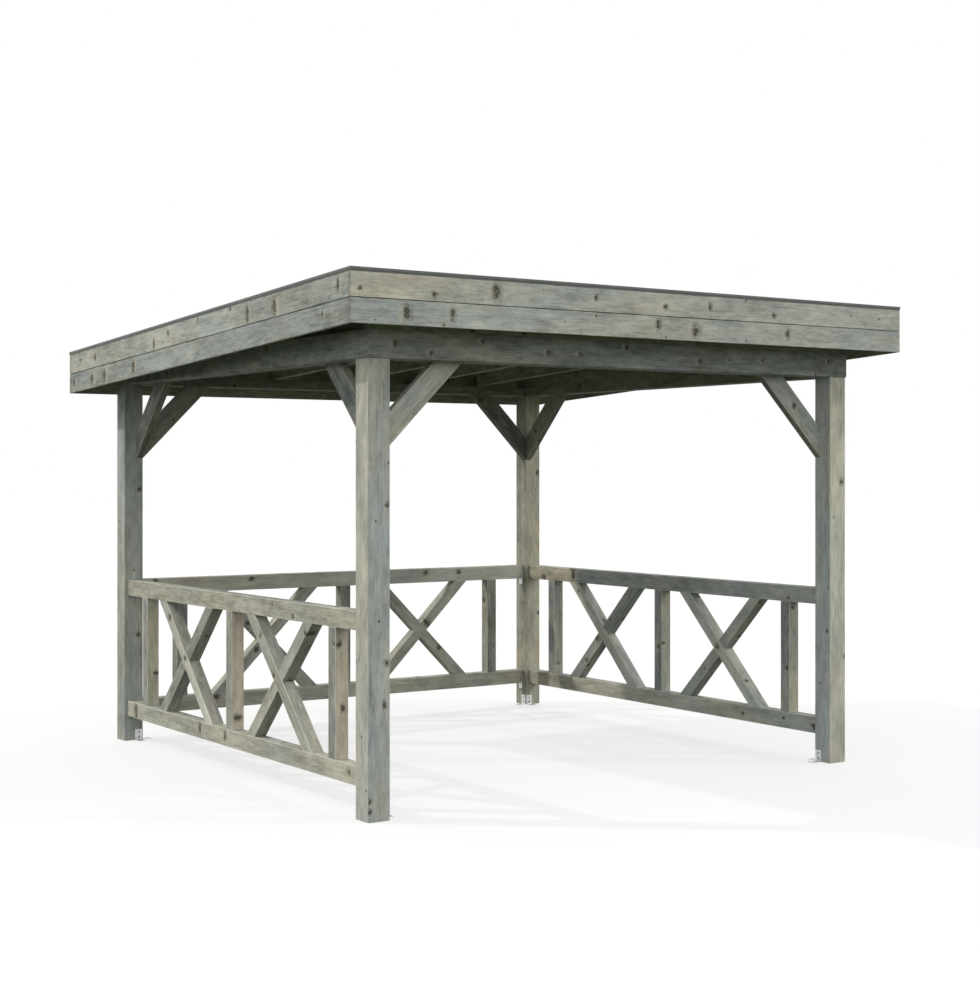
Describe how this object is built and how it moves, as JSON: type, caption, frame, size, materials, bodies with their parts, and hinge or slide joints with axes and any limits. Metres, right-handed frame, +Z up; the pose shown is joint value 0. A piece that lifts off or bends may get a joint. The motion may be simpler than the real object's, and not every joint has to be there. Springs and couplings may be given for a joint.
{
  "type": "garden gazebo",
  "caption": "Open timber garden gazebo: square posts, knee braces, a low roof that falls to the back inside a plank fascia, and crossed railings with the front left open.",
  "frame": {"origin": "on the ground midway between the four posts, which is the middle of the roof to within 15 mm", "axes": "+X along the open front, left to right seen from outside; +Y from the open front to the back; +Z up"},
  "size_m": [3.572, 3.6026, 2.5955],
  "materials": {
    "wood": "pressure-impregnated spruce, weathered grey-green",
    "galvanised": "hot-dip galvanised",
    "felt": "matt roofing membrane",
    "trim": "dark grey powder coat"
  },
  "bodies": {
    "root": {"back_balusters": "wood", "back_beam": "wood", "back_bottom_rail": "wood", "back_falling_diagonals": "wood", "back_fascia": "wood", "back_left_cross_brace": "wood", "back_left_post": "wood", "back_left_side_brace": "wood", "back_right_cross_brace": "wood", "back_right_post": "wood", "back_right_side_brace": "wood", "back_rising_diagonals": "wood", "back_top_rail": "wood", "edge_rafters": "wood", "edge_trim": "trim", "foot_brackets": "galvanised", "front_beam": "wood", "front_fascia": "wood", "front_left_cross_brace": "wood", "front_left_post": "wood", "front_left_side_brace": "wood", "front_right_cross_brace": "wood", "front_right_post": "wood", "front_right_side_brace": "wood", "left_balusters": "wood", "left_beam": "wood", "left_bottom_rail": "wood", "left_falling_diagonals": "wood", "left_fascia": "wood", "left_rising_diagonals": "wood", "left_top_rail": "wood", "rafters": "wood", "rail_brackets": "galvanised", "raising_timber": "wood", "right_balusters": "wood", "right_beam": "wood", "right_bottom_rail": "wood", "right_falling_diagonals": "wood", "right_fascia": "wood", "right_rising_diagonals": "wood", "right_top_rail": "wood", "roof_deck": "wood", "roof_membrane": "felt", "side_firrings": "wood"}
  },
  "joints": []
}
